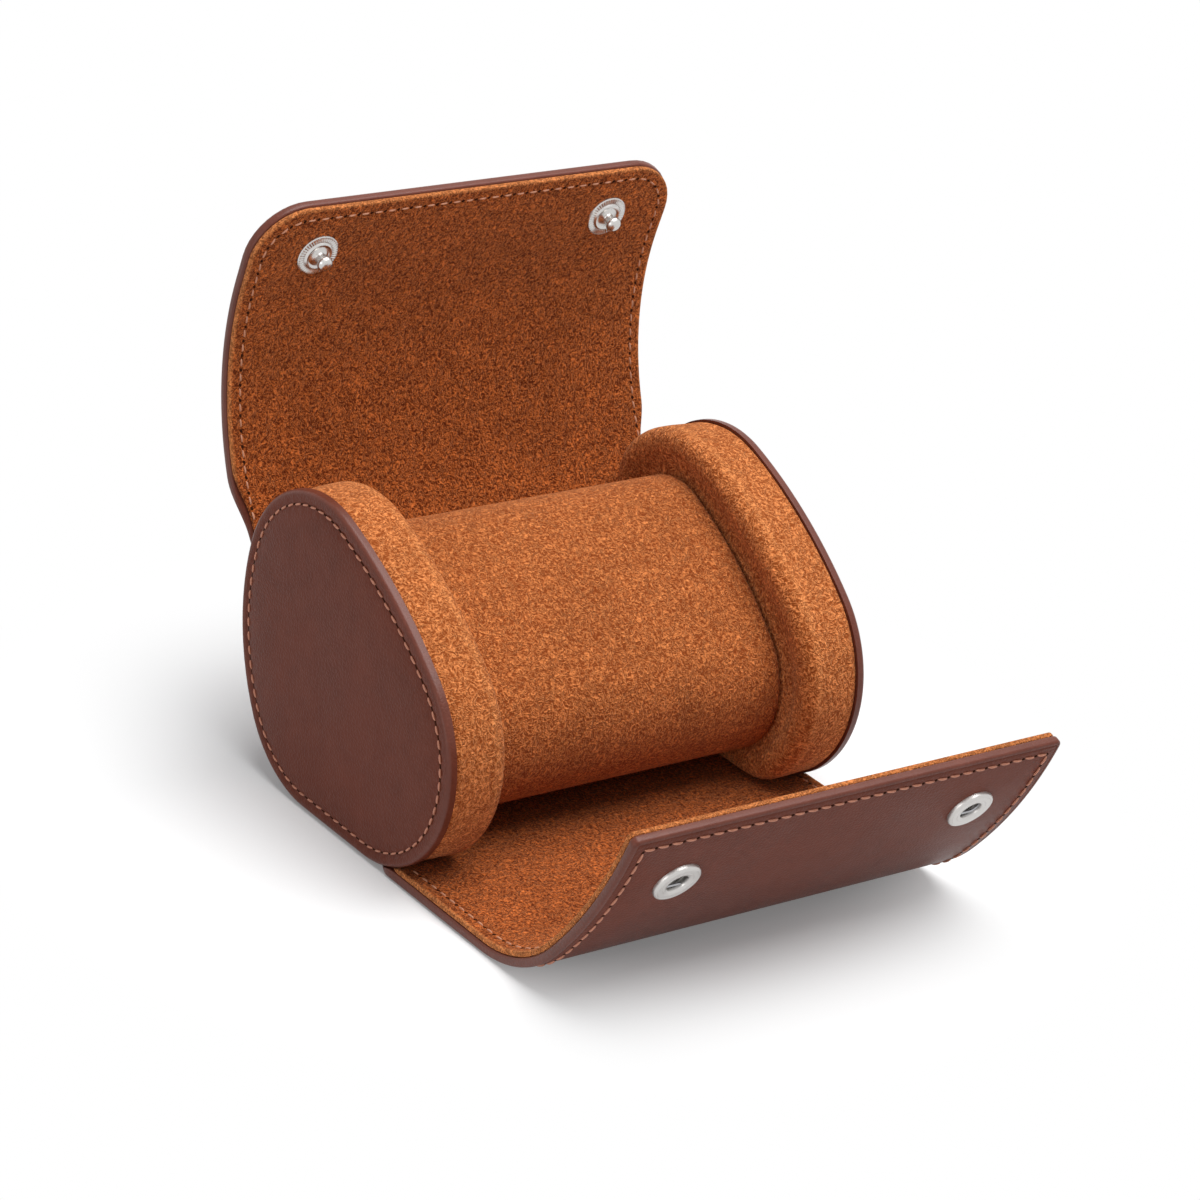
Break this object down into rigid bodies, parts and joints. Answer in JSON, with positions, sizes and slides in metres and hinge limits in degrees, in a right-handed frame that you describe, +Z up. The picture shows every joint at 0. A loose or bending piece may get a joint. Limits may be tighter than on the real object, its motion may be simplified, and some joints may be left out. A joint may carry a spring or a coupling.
{
  "type": "watch display roll",
  "caption": "Leather watch roll standing open: padded suede-lined end caps, a lift-out suede cushion between them and front and rear flaps that curl shut on press studs.",
  "frame": {"origin": "on the ground under the middle of the end caps, midway between the two end faces", "axes": "X along the roll from cap to cap, +Y to the back where the rear flap is, +Z up, -Y towards the front flap"},
  "size_m": [0.105, 0.1499, 0.1177],
  "materials": {
    "leather": "smooth dark brown full-grain leather, satin",
    "suede": "tan napped suede",
    "board": "plain fibreboard",
    "foam": "open-cell foam",
    "snap_metal": "nickel plate, satin",
    "spring_steel": "drawn wire"
  },
  "bodies": {
    "case_body": {"left_cap_board": "board", "left_cap_face_leather": "leather", "left_cap_foam": "foam", "left_cap_suede": "suede", "right_cap_board": "board", "right_cap_face_leather": "leather", "right_cap_foam": "foam", "right_cap_suede": "suede", "wrap_back_board": "board", "wrap_base_board": "board", "wrap_base_leather": "leather", "wrap_base_lining": "suede"},
    "front_flap_root": {"front_flap_root_leather": "leather", "front_flap_root_lining": "suede"},
    "front_flap_bend": {"front_flap_bend_leather": "leather", "front_flap_bend_lining": "suede"},
    "front_flap": {"front_flap_board": "board", "front_flap_leather": "leather", "front_flap_lining": "suede", "left_socket": "snap_metal", "left_socket_spring": "spring_steel", "left_socket_washer": "snap_metal", "right_socket": "snap_metal", "right_socket_spring": "spring_steel", "right_socket_washer": "snap_metal"},
    "rear_flap_root": {"rear_flap_root_leather": "leather", "rear_flap_root_lining": "suede"},
    "rear_flap_lower": {"rear_flap_lower_board": "board", "rear_flap_lower_leather": "leather", "rear_flap_lower_lining": "suede"},
    "rear_flap_middle": {"rear_flap_middle_board": "board", "rear_flap_middle_leather": "leather", "rear_flap_middle_lining": "suede"},
    "rear_flap_tip": {"left_stud": "snap_metal", "left_stud_cap": "snap_metal", "rear_flap_tip_board": "board", "rear_flap_tip_leather": "leather", "rear_flap_tip_lining": "suede", "right_stud": "snap_metal", "right_stud_cap": "snap_metal"},
    "watch_cushion": {"cushion_core_tube": "board", "cushion_foam": "foam", "cushion_left_end_board": "board", "cushion_left_end_suede": "suede", "cushion_right_end_board": "board", "cushion_right_end_suede": "suede", "cushion_suede_sleeve": "suede"}
  },
  "joints": [
    {"name": "front_flap_close", "type": "hinge", "parent": "case_body", "child": "front_flap_root", "pos_m": [0, -0.02468, 0.0032], "axis": [-1, 0, 0], "range_deg": [0, 28.54]},
    {"name": "front_flap_first_curl", "type": "hinge", "parent": "front_flap_root", "child": "front_flap_bend", "pos_m": [0, -0.03203, 0.0032], "axis": [-1, 0, 0], "range_deg": [0, 30.73]},
    {"name": "front_flap_second_curl", "type": "hinge", "parent": "front_flap_bend", "child": "front_flap", "pos_m": [0, -0.04673, 0.0032], "axis": [-1, 0, 0], "range_deg": [0, 30.73]},
    {"name": "rear_flap_close", "type": "hinge", "parent": "case_body", "child": "rear_flap_root", "pos_m": [0, 0.03512, 0.0445], "axis": [1, 0, 0], "range_deg": [0, 39.16]},
    {"name": "rear_flap_first_curl", "type": "hinge", "parent": "rear_flap_root", "child": "rear_flap_lower", "pos_m": [0, 0.04317, 0.05592], "axis": [1, 0, 0], "range_deg": [0, 37.04]},
    {"name": "rear_flap_second_curl", "type": "hinge", "parent": "rear_flap_lower", "child": "rear_flap_middle", "pos_m": [0, 0.04966, 0.07584], "axis": [1, 0, 0], "range_deg": [0, 13.2]},
    {"name": "rear_flap_third_curl", "type": "hinge", "parent": "rear_flap_middle", "child": "rear_flap_tip", "pos_m": [0, 0.04858, 0.09677], "axis": [1, 0, 0], "range_deg": [0, 12.2]},
    {"name": "cushion_lift", "type": "slide", "parent": "case_body", "child": "watch_cushion", "axis": [0, 0, 1], "range_m": [0, 0.08]}
  ],
  "couplings": [
    {"joint": "front_flap_first_curl", "follows": "front_flap_close", "ratio": 1.0769},
    {"joint": "front_flap_second_curl", "follows": "front_flap_close", "ratio": 1.0769},
    {"joint": "rear_flap_first_curl", "follows": "rear_flap_close", "ratio": 0.94603},
    {"joint": "rear_flap_second_curl", "follows": "rear_flap_close", "ratio": 0.33712},
    {"joint": "rear_flap_third_curl", "follows": "rear_flap_close", "ratio": 0.31158}
  ]
}
